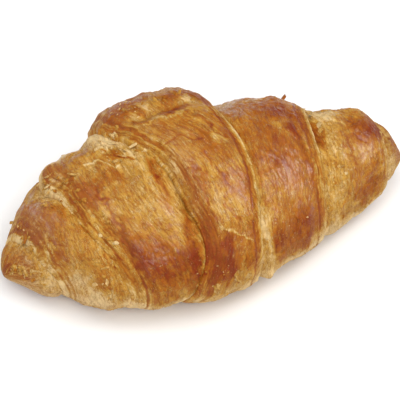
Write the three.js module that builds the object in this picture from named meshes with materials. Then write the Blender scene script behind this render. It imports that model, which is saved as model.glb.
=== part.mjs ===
// A straight butter croissant as it comes from the oven: one solid of rolled, layered dough.
// The dough was a long triangle, rolled up from its short side. Each turn of the roll is narrower
// than the turn inside it, so its free edge shows as a step that runs right round the roll.
// The outermost turn is the tongue in the middle; two more turns and a horn show on either side.
// Millimetres. X runs along the roll, Y to the back and Z up. The origin is the middle of the
// flat underside on which the croissant was baked and still rests.
import * as THREE from "three";

// The roll as a whole.
const HALF_LENGTH = 76.3;
const HORN_BLUNTNESS = 9; // how late the sections close towards the tips of the horns
const WIDEST_AT = 0.42; // share of the height at which a section is widest
const TOP_ROUNDNESS = 2.1; // exponent of the superellipse above that level
const BASE_ROUNDNESS = 2.6; // and below it, where the dough spread on the tray
const BASE_PRESS = 1.5; // how far the round of the base would sink below the tray

// Ribs from horn to horn: width to one side, height, where the middle lies in plan, and how high
// the underside is off the tray.
const RIBS = [
  { x: -HALF_LENGTH, halfWidth: 7.5, height: 12, middle: -3.2, base: 3.8 },
  { x: -70.8, halfWidth: 14.5, height: 15.3, middle: -1.7, base: 3.1 },
  { x: -57.8, halfWidth: 23.7, height: 31.6, middle: -0.2, base: 0.7 },
  { x: -36.8, halfWidth: 35, height: 39.8, middle: -0.6, base: 0 },
  { x: -0.8, halfWidth: 38.2, height: 46.6, middle: -1.5, base: 0 },
  { x: 28.2, halfWidth: 30.6, height: 41.3, middle: -1, base: 0 },
  { x: 52.2, halfWidth: 20.2, height: 32.4, middle: -0.7, base: 1 },
  { x: 69.2, halfWidth: 13.3, height: 22.2, middle: -0.6, base: 5 },
  { x: HALF_LENGTH, halfWidth: 7, height: 12, middle: -1.2, base: 4.6 },
];

// The free edge of each turn, by its X at the back, on top, in front and underneath, by how far it
// leans between those, and by its kinks, each at an angle round the roll, with the degrees it
// reaches. Next come its cut band, which slopes down to the edge, and the floor beside it: how deep
// the next turn starts below the skin, deepest about one angle and shallow elsewhere, and how far
// it takes to come up again.
const EDGES = {
  left1: {
    back: -32, top: -19.4, front: -15.6, under: -21.8, lean: -4.4,
    kinks: [
      { angle: 88, shift: 1.6, reach: 14 },
      { angle: 124, shift: -1.6, reach: 16 },
    ],
    band: 5, drop: 2,
    floor: { shallow: 0.7, deep: 4.4, angle: 120, reach: 22, rise: 11 },
  },
  left2: {
    back: -50.1, top: -52.5, front: -38.4, under: -43.9, lean: -2,
    kinks: [
      { angle: 80, shift: 1.2, reach: 14 },
      { angle: 118, shift: -0.8, reach: 14 },
      { angle: 150, shift: -0.6, reach: 12 },
    ],
    band: 8, drop: 2.5,
    floor: { shallow: 2.2, deep: 4.6, angle: 66, reach: 22, rise: 9 },
  },
  left3: {
    back: -70.4, top: -66.9, front: -61, under: -64.9, lean: 1.1,
    kinks: [
      { angle: 95, shift: 0.8, reach: 12 },
      { angle: 140, shift: -0.6, reach: 14 },
    ],
    band: 6, drop: 2,
    floor: { shallow: 2.8, deep: 4, angle: 72, reach: 22, rise: 7 },
  },
  right1: {
    back: 9.6, top: 10.9, front: 7, under: 10.5, lean: -0.6,
    kinks: [
      { angle: 100, shift: 1.2, reach: 22 },
      { angle: 150, shift: -1, reach: 16 },
      { angle: 188, shift: -1.6, reach: 22 },
    ],
    band: 2.5, drop: 0.6,
    floor: { shallow: 0.1, deep: 1.2, angle: 60, reach: 25, rise: 6 },
  },
  right2: {
    back: 45.4, top: 40.4, front: 34.8, under: 39.8, lean: 0,
    kinks: [
      { angle: 75, shift: -0.7, reach: 12 },
      { angle: 120, shift: 0.5, reach: 18 },
    ],
    band: 3.5, drop: 1.3,
    floor: { shallow: 0.9, deep: 2.6, angle: 97, reach: 16, rise: 6 },
  },
  right3: {
    back: 66.1, top: 67.2, front: 65.7, under: 66.2, lean: 0,
    kinks: [{ angle: 90, shift: 0.5, reach: 14 }],
    band: 3, drop: 1,
    floor: { shallow: 1.3, deep: 1.9, angle: 90, reach: 40, rise: 5 },
  },
};
const BAND_CURVE = 1.3; // how the cut band rounds off towards the skin
const BAND_FOLLOW = 0.6; // how much of a deeper floor its cut band goes down with
const LIP_ROUND = 0.8; // the edge's own rounding along X
const LIP_THICKNESS = 0.6; // dough left standing at the very edge
const TUCK = 1.5; // how far the next turn goes in under the edge

// The stretches of skin, outwards from the tongue: the edge each comes out under, its own edge,
// how much it swells towards that edge, how far it clears the tray, its rows of vertices, and
// forms of its own close to the edges.
const LEFT = [
  {
    from: "left1", to: "left2", swell: 1, clearance: 0.5, rows: 17,
    lumps: [
      { x: -33, angle: 48, tall: 1.6, along: 5, round: 16 }, // pale dough beside the hump
      { x: -40, angle: 29, tall: -3, along: 3.5, round: 15 }, // fall behind it
      { x: -52, angle: 38, tall: 2, along: 3.5, round: 14 }, // raised corner of the cut edge
    ],
  },
  {
    from: "left2", to: "left3", swell: -0.2, clearance: 0.8, rows: 13,
    lumps: [{ x: -59, angle: 32, tall: -2.2, along: 3.5, round: 14 }], // fall to the left horn
  },
  { from: "left3", to: null, swell: 0, clearance: 1, rows: 8, lumps: [] },
];
const RIGHT = [
  {
    from: "right1", to: "right2", swell: 1, clearance: 0.5, rows: 15,
    lumps: [
      { x: 13, angle: 42, tall: -2.4, along: 3.5, round: 18 }, // notch beside the hump
      { x: 9.5, angle: 200, tall: 1.8, along: 2, round: 8 }, // dough pressed out below the edge
    ],
  },
  {
    from: "right2", to: "right3", swell: 0.65, clearance: 0.8, rows: 13,
    lumps: [{ x: 42, angle: 65, tall: -1, along: 3, round: 15 }], // dip beside the edge
  },
  { from: "right3", to: null, swell: 0, clearance: 1, rows: 8, lumps: [] },
];
const TONGUE_SWELL = 1.5;
const TONGUE_ROWS = 17;
const COLUMNS = 56;

// Large forms of the skin: where along X, at which angle round the roll (0 at the back, 90 on top,
// 180 in front), how tall, and how far it reaches along and round the roll.
const BACK_HUMP = { x: -12.7, angle: 20, tall: 4.1, along: 26.7, round: 35.5 };
const FORMS = [
  { x: -11, angle: 59, tall: -1.7, along: 12, round: 5 }, // valley behind the tongue's top crease
  { x: -10, angle: 69, tall: 0.8, along: 13, round: 5 }, // the crease itself
  { x: -28, angle: 30, tall: -1.2, along: 7, round: 9 }, // gap where the torn skin sank
  { x: -26, angle: 26, tall: 1.3, along: 4, round: 12 }, // blunt left end of the hump
  { x: -39, angle: 64, tall: 1, along: 6, round: 5 }, // flap of skin lifted from the second turn
  { x: -31, angle: 96, tall: -0.9, along: 4, round: 16 }, // stretched dough along the tongue
  { x: -60, angle: 88, tall: 0.9, along: 5, round: 16 }, // blister over the left horn
  { x: -72, angle: 110, tall: 1.2, along: 3.5, round: 20 }, // nub of the left tip
  { x: 4, angle: 128, tall: 0.7, along: 6, round: 12 }, // blister under the tongue's glaze
  { x: 8.5, angle: 200, tall: 2, along: 2.2, round: 8 }, // drooping corner of the tongue
  { x: 15, angle: 45, tall: -1.6, along: 5, round: 25 }, // notch behind the tongue's right edge
  { x: 46, angle: 50, tall: -1.2, along: 4, round: 25 }, // notch behind the right-hand turn's edge
  { x: 34, angle: 50, tall: 2.4, along: 4.5, round: 11 }, // raised rim of the right-hand turn
  { x: 36, angle: 150, tall: -0.8, along: 5, round: 14 }, // hollow in the right-hand horn
  { x: 61, angle: 50, tall: 1.1, along: 5, round: 14 }, // blister behind the right horn
  { x: 71, angle: 75, tall: 1.1, along: 2.5, round: 22 }, // small crest by the right tip
];
const WAVE = 0.45; // height of the slow unevenness of the skin
const FOLD = 0.3; // height of the folds that follow the rolling

const FULL_TURN = 2 * Math.PI;

// Value of one size of the ribs at x, on a smooth curve through the ribs.
function alongRoll(x, size) {
  const last = RIBS.length - 1;
  const at = Math.min(Math.max(x, RIBS[0].x), RIBS[last].x);
  let i = 0;
  while (i < last - 1 && at >= RIBS[i + 1].x) i += 1;
  const gap = RIBS[i + 1].x - RIBS[i].x;
  const t = (at - RIBS[i].x) / gap;
  const start = RIBS[i][size];
  const end = RIBS[i + 1][size];
  return (
    (2 * t ** 3 - 3 * t ** 2 + 1) * start +
    (t ** 3 - 2 * t ** 2 + t) * gap * ribSlope(i, size) +
    (3 * t ** 2 - 2 * t ** 3) * end +
    (t ** 3 - t ** 2) * gap * ribSlope(i + 1, size)
  );
}

// Slope of that curve at a rib: the slopes on its two sides, the nearer rib counting for more.
function ribSlope(i, size) {
  const slope = (a, b) => (RIBS[b][size] - RIBS[a][size]) / (RIBS[b].x - RIBS[a].x);
  if (i === 0) return slope(0, 1);
  if (i === RIBS.length - 1) return slope(i - 1, i);
  const before = RIBS[i].x - RIBS[i - 1].x;
  const after = RIBS[i + 1].x - RIBS[i].x;
  return (before * slope(i, i + 1) + after * slope(i - 1, i)) / (before + after);
}

// Degrees round the roll from one place to an angle in radians, the short way round.
function degreesFrom(place, angle) {
  return THREE.MathUtils.euclideanModulo(THREE.MathUtils.radToDeg(angle) - place + 180, 360) - 180;
}

// X of a free edge at an angle round the roll.
function edgeAt(name, angle) {
  const e = EDGES[name];
  const kinks = e.kinks.reduce(
    (sum, kink) => sum + kink.shift * Math.exp(-((degreesFrom(kink.angle, angle) / kink.reach) ** 2)),
    0,
  );
  return (
    (e.back + e.top + e.front + e.under) / 4 +
    ((e.back - e.front) / 2) * Math.cos(angle) +
    ((e.top - e.under) / 2) * Math.sin(angle) +
    ((e.back + e.front - e.top - e.under) / 4) * Math.cos(2 * angle) +
    e.lean * Math.sin(2 * angle) +
    kinks
  );
}

// Soft bump of the skin; its reach round the roll is in degrees.
function bump(form, x, angle) {
  const along = (x - form.x) / form.along;
  const round = degreesFrom(form.angle, angle) / form.round;
  return form.tall * Math.exp(-(along ** 2) - round ** 2);
}

// Unevenness that every skin has: slow waves, and folds that run round the roll.
function unevenness(x, angle) {
  const wave = Math.sin(x / 7 + 3 * angle) * Math.cos(x / 11 - 2 * angle + 1);
  const fold = Math.sin(x / 1.9 + 1.4 * Math.sin(2 * angle + x / 15));
  const bumps = FORMS.reduce((sum, form) => sum + bump(form, x, angle), 0);
  return WAVE * wave + FOLD * fold + bumps;
}

// How much deeper than shallow the next turn starts beside a free edge, at an angle.
function extraDepth(edge, angle) {
  const { shallow, deep, angle: middle, reach } = edge.floor;
  return (deep - shallow) * Math.exp(-((degreesFrom(middle, angle) / reach) ** 2));
}

// How far the cut band beside a free edge lies below the skin, at a distance from the edge.
function bandDrop(edge, distance, angle) {
  const share = THREE.MathUtils.clamp(1 - distance / edge.band, 0, 1);
  return (edge.drop + BAND_FOLLOW * extraDepth(edge, angle)) * share ** BAND_CURVE;
}

// A point of the roll: x along it, angle round it, height above the plain skin.
function place(x, angle, height, clearance) {
  const halfWidth = alongRoll(x, "halfWidth");
  const tall = alongRoll(x, "height");
  const base = Math.max(0, alongRoll(x, "base"));
  const closing = Math.sqrt(Math.max(0, 1 - Math.abs(x / HALF_LENGTH) ** HORN_BLUNTNESS));
  const c = Math.cos(angle);
  const s = Math.sin(angle);
  const roundness = s >= 0 ? TOP_ROUNDNESS : BASE_ROUNDNESS;
  const out = (halfWidth + height) * closing * Math.sign(c) * Math.abs(c) ** (2 / roundness);
  const over = ((1 - WIDEST_AT) * tall + height) * closing;
  const under = (WIDEST_AT * tall + BASE_PRESS + Math.min(height, 0) / 2) * closing;
  const reach = Math.abs(s) ** (2 / roundness);
  const level = base + WIDEST_AT * tall + (s >= 0 ? over * reach : -under * reach);
  const turn = Math.atan(alongRoll(x + 0.5, "middle") - alongRoll(x - 0.5, "middle"));
  return new THREE.Vector3(
    x - Math.sin(turn) * out,
    alongRoll(x, "middle") + Math.cos(turn) * out,
    Math.max(level, base + clearance),
  );
}

// Shares of the way across a stretch, closer together near its two edges.
function spread(rows) {
  return Array.from({ length: rows }, (_, i) => {
    const t = i / (rows - 1);
    return t - 0.07 * Math.sin(FULL_TURN * t);
  });
}

// One row of vertices right round the roll. The rule gives x and height for an angle.
function row(rule, clearance) {
  return Array.from({ length: COLUMNS }, (_, j) => {
    const angle = (FULL_TURN * j) / COLUMNS;
    const { x, height } = rule(angle);
    return place(x, angle, height, clearance);
  });
}

// The tongue, from its left edge to its right edge, with a rounded lip at both.
function tongueRows() {
  const skin = (t) => (angle) => {
    const start = edgeAt("left1", angle) + LIP_ROUND;
    const end = edgeAt("right1", angle) - LIP_ROUND;
    const x = start + (end - start) * t;
    const bands = bandDrop(EDGES.left1, x - start, angle) + bandDrop(EDGES.right1, end - x, angle);
    const height = TONGUE_SWELL - bands + bump(BACK_HUMP, x, angle) + unevenness(x, angle);
    return { x, height };
  };
  const nose = (name, t) => (angle) => ({
    x: edgeAt(name, angle),
    height: skin(t)(angle).height - LIP_THICKNESS,
  });
  return [
    row(nose("left1", 0), 0),
    ...spread(TONGUE_ROWS).map((t) => row(skin(t), 0)),
    row(nose("right1", 1), 0),
  ];
}

// One stretch of skin, outwards: in under the edge before it, up from the floor, over the crest and
// down its own cut band to a rounded lip, or on to the tip of the horn.
function stretchRows(stretch, outwards) {
  const before = EDGES[stretch.from];
  const own = EDGES[stretch.to];
  const tip = outwards * HALF_LENGTH;
  const skin = (t) => (angle) => {
    const start = edgeAt(stretch.from, angle);
    const end = own ? edgeAt(stretch.to, angle) - outwards * LIP_ROUND : tip;
    const share = own ? t : Math.sin((t * Math.PI) / 2);
    const x = start + (end - start) * share;
    const climbed = Math.min(1, Math.abs(x - start) / before.floor.rise);
    const depth = (before.floor.shallow + extraDepth(before, angle)) * (1 - climbed) ** 2;
    const band = own ? bandDrop(own, Math.abs(end - x), angle) : 0;
    const lumps = stretch.lumps.reduce((sum, form) => sum + bump(form, x, angle), 0);
    const height =
      stretch.swell * (2 * share - 1) - depth - band + lumps + climbed * unevenness(x, angle);
    return { x, height };
  };
  const under = (angle) => ({
    x: edgeAt(stretch.from, angle) - outwards * TUCK,
    height: skin(0)(angle).height,
  });
  const rows = [row(under, stretch.clearance)];
  if (own) {
    const nose = (angle) => ({
      x: edgeAt(stretch.to, angle),
      height: skin(1)(angle).height - LIP_THICKNESS,
    });
    rows.push(...spread(stretch.rows).map((t) => row(skin(t), stretch.clearance)));
    rows.push(row(nose, stretch.clearance));
  } else {
    // The last share is the tip itself, which is a single point.
    const shares = Array.from({ length: stretch.rows }, (_, i) => i / stretch.rows);
    rows.push(...shares.map((t) => row(skin(t), stretch.clearance)));
  }
  return rows;
}

// Closes the rows, one behind the other along +X, into one surface between two tips.
function closedSurface(rows) {
  const positions = rows.flat().flatMap((p) => p.toArray());
  const indices = [];
  const at = (i, j) => i * COLUMNS + (j % COLUMNS);
  for (let i = 0; i + 1 < rows.length; i += 1) {
    for (let j = 0; j < COLUMNS; j += 1) {
      indices.push(at(i, j), at(i, j + 1), at(i + 1, j + 1));
      indices.push(at(i, j), at(i + 1, j + 1), at(i + 1, j));
    }
  }
  const tips = [-1, 1].map((end) => place(end * HALF_LENGTH, 0, 0, 0));
  tips.forEach((tip) => positions.push(...tip.toArray()));
  const leftTip = rows.length * COLUMNS;
  const lastRow = rows.length - 1;
  for (let j = 0; j < COLUMNS; j += 1) {
    indices.push(leftTip, at(0, j + 1), at(0, j));
    indices.push(leftTip + 1, at(lastRow, j), at(lastRow, j + 1));
  }
  const surface = new THREE.BufferGeometry();
  surface.setAttribute("position", new THREE.Float32BufferAttribute(positions, 3));
  surface.setIndex(indices);
  return surface;
}

// The whole roll, from the left horn to the right one, centred over the middle of its underside.
function croissantGeometry() {
  const leftRows = LEFT.flatMap((stretch) => stretchRows(stretch, -1)).reverse();
  const rightRows = RIGHT.flatMap((stretch) => stretchRows(stretch, 1));
  const surface = closedSurface([...leftRows, ...tongueRows(), ...rightRows]);
  surface.computeBoundingBox();
  const { min, max } = surface.boundingBox;
  surface.translate(-(min.x + max.x) / 2, -(min.y + max.y) / 2, -min.z);
  surface.computeVertexNormals();
  return surface;
}

const crust = new THREE.MeshStandardMaterial({ color: 0xc08040, roughness: 0.42, metalness: 0 });
const croissant = new THREE.Mesh(croissantGeometry(), crust);
croissant.name = "croissant";

const bakedGoods = new THREE.Group();
bakedGoods.add(croissant);

export default bakedGoods;
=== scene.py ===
import math

import bpy
import numpy as np
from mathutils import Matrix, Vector
from mathutils.bvhtree import BVHTree


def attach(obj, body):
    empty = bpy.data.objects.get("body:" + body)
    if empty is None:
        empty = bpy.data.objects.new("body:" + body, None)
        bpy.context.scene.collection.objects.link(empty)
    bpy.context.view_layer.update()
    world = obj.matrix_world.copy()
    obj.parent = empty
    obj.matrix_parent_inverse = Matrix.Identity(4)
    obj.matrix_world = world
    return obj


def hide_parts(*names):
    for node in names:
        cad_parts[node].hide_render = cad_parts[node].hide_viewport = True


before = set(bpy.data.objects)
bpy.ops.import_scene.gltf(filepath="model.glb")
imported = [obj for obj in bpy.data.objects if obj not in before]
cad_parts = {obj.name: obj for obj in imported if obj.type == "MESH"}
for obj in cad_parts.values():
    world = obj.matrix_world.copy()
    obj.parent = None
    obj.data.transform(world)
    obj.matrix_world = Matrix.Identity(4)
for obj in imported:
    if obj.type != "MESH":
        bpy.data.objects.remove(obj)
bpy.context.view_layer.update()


# The tongue is the outermost turn of the roll, where the long point of the dough triangle ends.
# It is layered butter dough, brushed with egg and baked. It lies over the two turns beside it,
# hangs down in front and is tucked in under the roll. Sizes of dough are millimetres.
MM = 0.001
HALF_LENGTH = 76.3
HORN_BLUNTNESS = 9
WIDEST_AT = 0.42
TOP_ROUNDNESS = 2.1
BASE_ROUNDNESS = 2.6
BASE_PRESS = 1.5
RING = 35.0
RIB_X = np.array([-HALF_LENGTH, -70.8, -57.8, -36.8, -0.8, 28.2, 52.2, 69.2, HALF_LENGTH])
RIB_HALF_WIDTH = np.array([7.5, 14.5, 23.7, 35, 38.2, 30.6, 20.2, 13.3, 7])
RIB_HEIGHT = np.array([12, 15.3, 31.6, 39.8, 46.6, 41.3, 32.4, 22.2, 12])
RIB_MIDDLE = np.array([-3.2, -1.7, -0.2, -0.6, -1.5, -1, -0.7, -0.6, -1.2])
RIB_BASE = np.array([3.8, 3.1, 0.7, 0, 0, 0, 1, 5, 4.6])


def ease(value):
    """Slides smoothly from 0 to 1 with value: three times its square less twice its cube."""
    value = np.clip(value, 0, 1)
    return value * value * (3 - 2 * value)


def along_roll(x, sizes):
    """One size of the ribs at x: a cubic between neighbouring ribs that meets their slopes."""
    slopes = np.gradient(sizes, RIB_X)
    x = np.clip(x, RIB_X[0], RIB_X[-1])
    i = np.clip(np.searchsorted(RIB_X, x, side="right") - 1, 0, len(RIB_X) - 2)
    gap = RIB_X[i + 1] - RIB_X[i]
    t = (x - RIB_X[i]) / gap
    start = (2 * t**3 - 3 * t**2 + 1) * sizes[i] + (t**3 - 2 * t**2 + t) * gap * slopes[i]
    end = (3 * t**2 - 2 * t**3) * sizes[i + 1] + (t**3 - t**2) * gap * slopes[i + 1]
    return start + end


def degrees_from(place, angle):
    """Degrees round the roll from a place to an angle in radians, the short way round."""
    return (np.degrees(angle) - place + 180) % 360 - 180


LATTICE_VALUES = 8192
FLAKE_VALUES = 4096


def drawn_value(i, j, k, count):
    """Which of count seeded values a cell has: its three whole numbers mixed with large primes."""
    return (i * 73856093 ^ j * 19349663 ^ k * 83492791) % count


def lattice_noise(x, y, z, seed):
    """Smooth noise from -1 to 1: seeded values at whole numbers, eased between the eight around."""
    values = np.random.default_rng(seed).uniform(-1, 1, LATTICE_VALUES)
    spots = np.stack(np.broadcast_arrays(x, y, z), -1)
    whole = np.floor(spots).astype(np.int64)
    part = ease(spots - whole)
    total = np.zeros(spots.shape[:-1])
    for corner in np.ndindex(2, 2, 2):
        i, j, k = np.moveaxis(whole + corner, -1, 0)
        share = np.prod(np.where(corner, part, 1 - part), axis=-1)
        total += share * values[drawn_value(i, j, k, LATTICE_VALUES)]
    return total


def grain(across, angle, width, length, seed, octaves=2):
    """Noise drawn out round the roll as the dough was: width mm across, length mm round."""
    total = 0
    for k in range(octaves):
        fine = 2**k
        total = total + lattice_noise(
            across * fine / width, RING * np.cos(angle) * fine / length,
            RING * np.sin(angle) * fine / length, seed + k) / fine
    return total


def free_edge(edge, angle):
    """X of a free edge: a ring through four places, leaning between them, with kinks and ragged."""
    ring = (edge["back"] + edge["top"] + edge["front"] + edge["under"]) / 4
    ring = ring + (edge["back"] - edge["front"]) / 2 * np.cos(angle)
    ring = ring + (edge["top"] - edge["under"]) / 2 * np.sin(angle)
    ring = ring + (edge["back"] + edge["front"] - edge["top"] - edge["under"]) / 4 * np.cos(2 * angle)
    ring = ring + edge["lean"] * np.sin(2 * angle)
    for place_at, shift, reach in edge["kinks"]:
        ring = ring + shift * np.exp(-(degrees_from(place_at, angle) / reach) ** 2)
    ragged = edge["ragged"] + 0 * angle
    for place_at, reach, more in edge["torn"]:
        ragged = ragged + more * np.exp(-(degrees_from(place_at, angle) / reach) ** 2)
    seed = int(abs(edge["back"]) * 10)
    return ring + ragged * (grain(0, angle, 1, 7, seed) + 0.6 * grain(0, angle, 1, 1.6, seed + 9))


def edge_floor(edge, angle):
    """How far the next turn starts below its own skin: shallow, and deeper about one angle."""
    middle, reach = edge["deepest"]
    return edge["shallow"] + (edge["floor"] - edge["shallow"]) * np.exp(
        -(degrees_from(middle, angle) / reach) ** 2)


def lip_thickness(edge, angle, height):
    """Thickness of a lip at some height, so that it rests on the next turn, pressed in a little."""
    next_height = -edge["inner"] - edge_floor(edge, angle[0])
    return np.maximum(THINNEST_LIP, height - next_height + LIP_PRESS)


def place(x, angle, height, clearance):
    """Points of the roll: a superellipse section at x, pushed out by height, flat where it rests."""
    x, angle, height, clearance = np.broadcast_arrays(x, angle, height, clearance)
    tall = along_roll(x, RIB_HEIGHT)
    base = np.maximum(0, along_roll(x, RIB_BASE))
    closing = np.sqrt(np.clip(1 - np.abs(x / HALF_LENGTH) ** HORN_BLUNTNESS, 0, 1))
    c = np.cos(angle)
    s = np.sin(angle)
    roundness = np.where(s >= 0, TOP_ROUNDNESS, BASE_ROUNDNESS)
    out = (along_roll(x, RIB_HALF_WIDTH) + height) * closing * np.sign(c) * np.abs(c) ** (2 / roundness)
    over = ((1 - WIDEST_AT) * tall + height) * closing
    under = (WIDEST_AT * tall + BASE_PRESS + np.minimum(height, 0) / 2) * closing
    level = base + WIDEST_AT * tall + np.where(s >= 0, over, -under) * np.abs(s) ** (2 / roundness)
    turn = np.arctan(along_roll(x + 0.5, RIB_MIDDLE) - along_roll(x - 0.5, RIB_MIDDLE))
    middle = along_roll(x, RIB_MIDDLE)
    return np.stack([x - np.sin(turn) * out, middle + np.cos(turn) * out,
                     np.maximum(level, base + clearance)], -1)


def patches(spots, x, angle, edge=1):
    """Sum of patches at x and angle, each with its reach along and round, and its strength."""
    total = 0
    for at, degrees, along, round_, strength in spots:
        reach = ((x - at) / along) ** 2 + (degrees_from(degrees, angle) / round_) ** 2
        total = total + strength * np.exp(-reach**edge)
    return total


def strokes(lines, x, angle):
    """Sum of soft lines, each with a half width in mm, a strength and stops at x and angle."""
    total = 0 * (x + angle)
    for width, strength, *stops in lines:
        nearest = np.full(total.shape, 99.0)
        for (start_x, start_angle), (end_x, end_angle) in zip(stops, stops[1:]):
            along = x - start_x
            around = RING * np.radians(degrees_from(start_angle, angle))
            way = end_x - start_x
            turn = RING * np.radians(end_angle - start_angle)
            share = np.clip((along * way + around * turn) / (way**2 + turn**2), 0, 1)
            nearest = np.minimum(nearest, (along - share * way) ** 2 + (around - share * turn) ** 2)
        total = total + strength * np.exp(-nearest / width**2)
    return total


# Large forms of the whole skin, as x, angle, reach along, reach round in degrees, and height.
FORMS = (
    (-11, 59, 12, 5, -1.7), (-10, 69, 13, 5, 0.8), (-28, 30, 7, 9, -1.2), (-26, 26, 4, 12, 1.3),
    (-39, 64, 6, 5, 1), (-31, 96, 4, 16, -0.9), (-60, 88, 5, 16, 0.9), (-72, 110, 3.5, 20, 1.2),
    (4, 128, 6, 12, 0.7), (8.5, 200, 2.2, 8, 2), (15, 45, 5, 25, -1.6), (46, 50, 4, 25, -1.2),
    (34, 50, 4.5, 11, 2.4), (36, 150, 5, 14, -0.8), (61, 50, 5, 14, 1.1), (71, 75, 2.5, 22, 1.1))
BACK_HUMP = ((-12.7, 20, 26.7, 35.5, 4.1),)


def unevenness(x, angle):
    """Slow waves and folds of every skin, with its large forms."""
    wave = np.sin(x / 7 + 3 * angle) * np.cos(x / 11 - 2 * angle + 1)
    fold = np.sin(x / 1.9 + 1.4 * np.sin(2 * angle + x / 15))
    return 0.45 * wave + 0.3 * fold + patches(FORMS, x, angle)


def wrinkles(across, angle, seed):
    """Height of baked skin, pillows between wandering creases, folds and blisters, and a mask of the
    creases for painted shade.
    """
    across = across + 1.6 * grain(across, angle, 5, 7, seed)
    lines = np.abs(grain(across, angle, 2.1, 8, seed + 2, 3))
    pillows = 0.55 * np.minimum(lines / 0.5, 1) ** 0.75 - 0.3
    folds = 0.26 * grain(across, angle, 3, 20, seed + 5)
    blisters = 0.3 * ease(3 * (grain(across, angle, 3, 4.5, seed + 7) - 0.2))
    return pillows + folds + blisters, ease(1 - lines / 0.09)


def flakes(across, angle, width, length, seed):
    """Flakes as cells about scattered seeds: how near the border between two, and a value each."""
    spots = np.stack(np.broadcast_arrays(
        across / width, RING * np.cos(angle) / length, RING * np.sin(angle) / length), -1)
    whole = np.floor(spots).astype(np.int64)
    jitter = np.random.default_rng(seed).uniform(0, 1, (FLAKE_VALUES, 4))
    nearest = np.full(spots.shape[:-1], 9.0)
    second = nearest.copy()
    value = 0 * nearest
    for step in np.ndindex(3, 3, 3):
        cell = whole + step - 1
        drawn = jitter[drawn_value(cell[..., 0], cell[..., 1], cell[..., 2], FLAKE_VALUES)]
        far = np.sqrt(((cell + drawn[..., :3] - spots) ** 2).sum(-1))
        closer = far < nearest
        second = np.where(closer, nearest, np.minimum(second, far))
        value = np.where(closer, 2 * drawn[..., 3] - 1, value)
        nearest = np.where(closer, far, nearest)
    return second - nearest, value


def band_drop(edge, distance, angle):
    """How far the cut band lies below the skin: a step at its border, then a slope down to the edge."""
    slope = edge["drop"] + 0.6 * (edge_floor(edge, angle) - edge["shallow"])
    inside = np.clip((edge["band"] - distance) / 0.5, 0, 1)
    return slope * np.clip(1 - distance / edge["band"], 0, 1) ** 1.3 + edge["step"] * ease(inside)


def cut_layers(edge, distance, angle, seed):
    """Thin layers that show in a cut band: how far inside it, their height and their darkness."""
    inside = ease(3 * (1 - distance / edge["band"]))
    lines = grain(distance + 0.35 * grain(distance, angle, 3, 9, seed), angle, 0.75, 45, seed + 2)
    lines = np.clip(1.9 * lines, -1, 1)
    return inside, inside * 0.13 * lines, inside * (0.5 - 0.5 * lines)


def seam(edge, distance, angle, seed):
    """A creased line where the cut band starts, 1 in its middle, broken here and there."""
    wander = 0.3 * grain(0, angle, 1, 6, seed)
    broken = ease(1.2 + 1.6 * grain(0, angle, 1, 9, seed + 1))
    return broken * np.exp(-((distance - edge["band"] + wander) / 0.4) ** 2)


TONGUE_SWELL = 1.5
LIP_ROUND = 0.6
THINNEST_LIP = 0.7
LIP_PRESS = 0.15
LIP_NOSE_ROWS = 6
LIP_BACK_ROWS = 4
UNDERCUT = 4.0
UNDERCUT_DEPTH = 3.2
RIM_REACH = 0.7
SEAM_DEPTH = 0.25
CAP_SHARES = np.array([1, 0.7, 0.35, 0])
# A free edge of the dough has its x at the back, top, front and underside, a lean, kinks (angle,
# shift, reach) and torn places (angle, reach, more), the width, drop and step of its cut band, how
# deep the next turn starts (floor at its deepest, shallow elsewhere) and over what length it rises.
LEFT_1 = dict(back=-32, top=-19.4, front=-15.6, under=-21.8, lean=-4.4,
              kinks=((88, 1.6, 14), (124, -1.6, 16)), ragged=0.25, torn=((45, 25, 0.7),),
              band=5, drop=2, step=0.2, floor=4.4, shallow=0.7, deepest=(120, 22),
              rise=11, inner=1)
RIGHT_1 = dict(back=9.6, top=10.9, front=7, under=10.5, lean=-0.6,
               kinks=((100, 1.2, 22), (150, -1, 16), (188, -1.6, 22)), ragged=0.15, torn=(),
               band=2.5, drop=0.5, step=0.15, floor=1.2, shallow=0.1, deepest=(60, 25),
               rise=6, inner=1)


def lip_rows(end, height, outwards, thickness):
    """Rows over a rounded lip and back in under it: x, height, and how far below the skin."""
    quarter_turn = np.linspace(0, np.pi / 2, LIP_NOSE_ROWS + 1)[1:, None]
    nose_x = end + outwards * LIP_ROUND * np.sin(quarter_turn)
    nose_below = thickness * (1 - np.cos(quarter_turn))
    back = np.linspace(0, 1, LIP_BACK_ROWS + 1)[1:, None]
    under_x = end - outwards * UNDERCUT * back
    under_below = thickness + UNDERCUT_DEPTH * back
    below = np.concatenate([nose_below, under_below])
    return np.concatenate([nose_x, under_x]), height - below, below


def cap_points(ring, share):
    """A ring drawn in towards its own middle by a share, one ring for each share."""
    middle = ring.mean(axis=0)
    return middle + share[:, None, None] * (ring - middle)


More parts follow.
